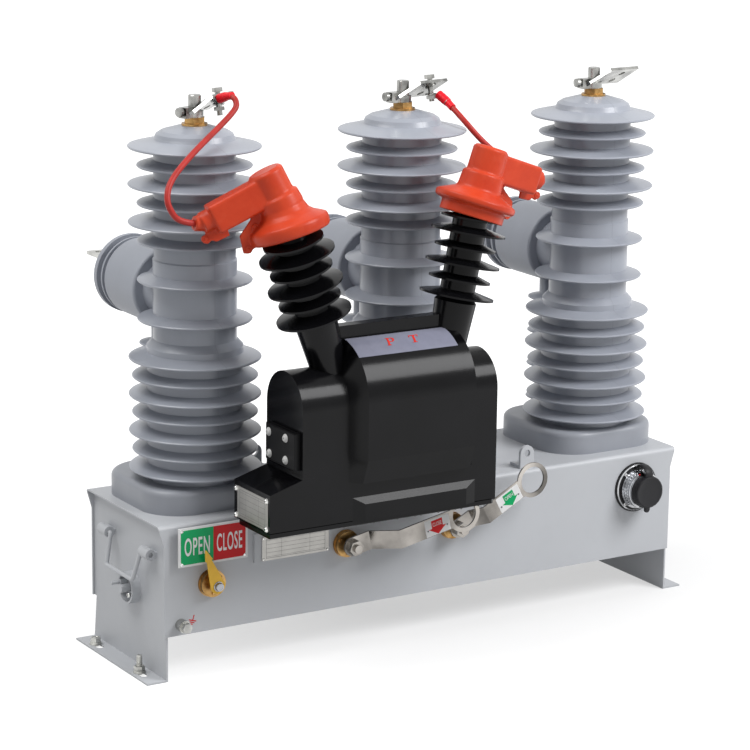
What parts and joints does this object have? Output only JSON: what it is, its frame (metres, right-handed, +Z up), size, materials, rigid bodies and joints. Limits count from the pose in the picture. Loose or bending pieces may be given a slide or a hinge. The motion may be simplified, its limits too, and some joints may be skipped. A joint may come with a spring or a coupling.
{
  "type": "outdoor vacuum circuit breaker",
  "caption": "Outdoor three-pole vacuum circuit breaker on a steel mechanism housing, with a voltage transformer in front.",
  "frame": {"origin": "centre of the four foot slots, on the floor plane", "axes": "+X along the housing to the viewer's right, -Y to the front (sign and levers), +Z up"},
  "size_m": [0.93, 0.5545, 0.8106],
  "materials": {
    "housing_paint": "satin powder coat",
    "plinth_grey": "satin cast resin",
    "insulator_grey": "satin silicone-skinned resin",
    "drum_grey": "satin cast resin",
    "brass": "turned",
    "tinned_steel": "tinned",
    "sign_plate": "gloss print",
    "pointer_yellow": "gloss paint",
    "bright_steel": "zinc plated",
    "plate_metal": "matt",
    "chrome": "plated",
    "cap_rubber": "moulded",
    "cast_epoxy": "satin cast resin",
    "silicone_red": "moulded silicone",
    "lead_red": "silicone insulation",
    "lug_tin": "tinned"
  },
  "bodies": {
    "breaker": {"housing_sheet": "housing_paint", "end_plate_left": "housing_paint", "end_plate_right": "housing_paint", "bottom_plate": "housing_paint", "pole_1_plinth": "plinth_grey", "pole_1_insulator": "insulator_grey", "pole_1_current_transformer": "drum_grey", "pole_1_nut": "brass", "pole_1_top_terminal": "tinned_steel", "pole_1_rear_terminal": "tinned_steel", "pole_2_plinth": "plinth_grey", "pole_2_insulator": "insulator_grey", "pole_2_current_transformer": "drum_grey", "pole_2_nut": "brass", "pole_2_top_terminal": "tinned_steel", "pole_2_rear_terminal": "tinned_steel", "pole_3_plinth": "plinth_grey", "pole_3_insulator": "insulator_grey", "pole_3_current_transformer": "drum_grey", "pole_3_nut": "brass", "pole_3_top_terminal": "tinned_steel", "pole_3_rear_terminal": "tinned_steel", "switch_sign": "sign_plate", "pointer_bearing": "brass", "lever_bearing_left": "brass", "lever_bearing_right": "brass", "name_plate": "plate_metal", "earth_bolt": "bright_steel", "control_socket": "chrome", "socket_cap": "cap_rubber", "lifting_lugs": "housing_paint", "bail_mount": "housing_paint", "voltage_transformer": "cast_epoxy", "transformer_cover": "cast_epoxy", "transformer_shelf": "housing_paint", "bushing_cap_left": "silicone_red", "bushing_cap_right": "silicone_red", "lead_left": "lead_red", "lead_right": "lead_red", "lead_left_lug": "lug_tin", "lead_right_lug": "lug_tin"},
    "lever_close": {"lever_close": "bright_steel"},
    "lever_open": {"lever_open": "bright_steel"},
    "pointer": {"pointer": "pointer_yellow"},
    "bail": {"bail": "housing_paint"}
  },
  "joints": [
    {"name": "pointer_turn", "type": "hinge", "parent": "breaker", "child": "pointer", "pos_m": [-0.365, -0.134, 0.136], "axis": [0, 1, 0], "range_deg": [0, 39]},
    {"name": "lever_close_pull", "type": "hinge", "parent": "breaker", "child": "lever_close", "pos_m": [-0.146, -0.134, 0.161], "axis": [0, 1, 0], "range_deg": [0, 30], "stiffness_Nm_per_rad": 2, "springref_deg": -28.65},
    {"name": "lever_open_pull", "type": "hinge", "parent": "breaker", "child": "lever_open", "pos_m": [0.035, -0.134, 0.162], "axis": [0, 1, 0], "range_deg": [0, 35], "stiffness_Nm_per_rad": 2, "springref_deg": -28.65},
    {"name": "bail_swing", "type": "hinge", "parent": "breaker", "child": "bail", "pos_m": [-0.445, -0.0104, 0.18], "axis": [0, 1, 0], "range_deg": [0, 90]}
  ]
}
